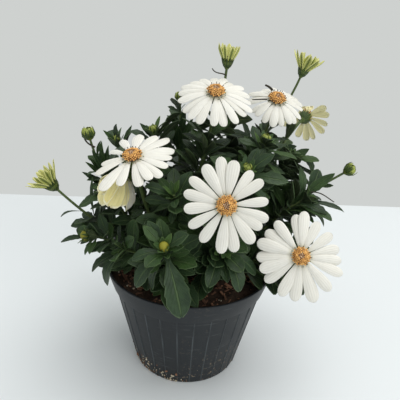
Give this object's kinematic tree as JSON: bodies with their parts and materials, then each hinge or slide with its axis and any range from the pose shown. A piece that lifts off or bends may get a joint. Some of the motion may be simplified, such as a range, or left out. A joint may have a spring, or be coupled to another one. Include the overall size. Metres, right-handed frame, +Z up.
{
  "type": "potted osteospermum plant",
  "caption": "Flowering African daisy in a ribbed dark plastic nursery pot: leafy green shoots with white daisy flowers, half-open yellow-green buds and closed buds above dark soil.",
  "frame": {"origin": "centre of the pot's flat underside, on the surface the pot stands on", "axes": "+Z up the pot's axis, -Y the side the front flowers face (the picture's viewer), +X to the viewer's right"},
  "size_m": [0.2447, 0.1716, 0.2493],
  "materials": {
    "pot_plastic": "dark anthracite moulded plastic, slightly shiny",
    "peat": "moist dark brown peat and bark crumbs",
    "woody_stem": "rough grey-brown bark",
    "leaf_green": "dark green leaf with a paler midrib, slightly waxy",
    "calyx_green": "fresh green, matt",
    "white_petal": "warm white petal with fine lengthwise grooves",
    "pale_yellow_petal": "pale yellow petal back",
    "bud_petal": "lime yellow young petal",
    "disc_orange": "orange-brown, granular"
  },
  "bodies": {
    "root": {"back_bud_calyx": "calyx_green", "back_bud_petals": "bud_petal", "back_bud_shoot": "leaf_green", "back_left_shoot": "leaf_green", "back_low_right_shoot": "leaf_green", "back_right_flower_calyx": "calyx_green", "back_right_flower_disc": "disc_orange", "back_right_flower_petals": "pale_yellow_petal", "back_right_shoot": "leaf_green", "back_shoot": "leaf_green", "centre_shoot": "leaf_green", "crown": "woody_stem", "front_flower_calyx": "calyx_green", "front_flower_disc": "disc_orange", "front_flower_petals": "white_petal", "front_right_shoot": "leaf_green", "front_rosette_shoot": "leaf_green", "front_shoot": "leaf_green", "left_bud_calyx": "calyx_green", "left_bud_petals": "bud_petal", "left_bud_shoot": "leaf_green", "left_crest_shoot": "leaf_green", "left_flower_calyx": "calyx_green", "left_flower_disc": "disc_orange", "left_flower_petals": "white_petal", "left_hanging_shoot": "leaf_green", "left_mid_shoot": "leaf_green", "left_shoot": "leaf_green", "low_left_shoot": "leaf_green", "low_right_flower_calyx": "calyx_green", "low_right_flower_disc": "disc_orange", "low_right_flower_petals": "white_petal", "low_right_shoot": "leaf_green", "mid_bud_shoot": "leaf_green", "nodding_flower_calyx": "calyx_green", "nodding_flower_disc": "disc_orange", "nodding_flower_petals": "pale_yellow_petal", "nodding_shoot": "leaf_green", "pot": "pot_plastic", "rear_high_shoot": "leaf_green", "rear_left_shoot": "leaf_green", "right_bud": "calyx_green", "right_bud_shoot": "leaf_green", "right_crest_shoot": "leaf_green", "right_high_shoot": "leaf_green", "right_low_shoot": "leaf_green", "soil": "peat", "top_bud_calyx": "calyx_green", "top_bud_petals": "bud_petal", "top_bud_shoot": "leaf_green", "top_flower_calyx": "calyx_green", "top_flower_disc": "disc_orange", "top_flower_petals": "white_petal", "top_right_flower_calyx": "calyx_green", "top_right_flower_disc": "disc_orange", "top_right_flower_petals": "white_petal", "top_right_shoot": "leaf_green", "top_shoot": "leaf_green", "upper_left_bud": "calyx_green", "upper_left_bud_shoot": "leaf_green"}
  },
  "joints": []
}
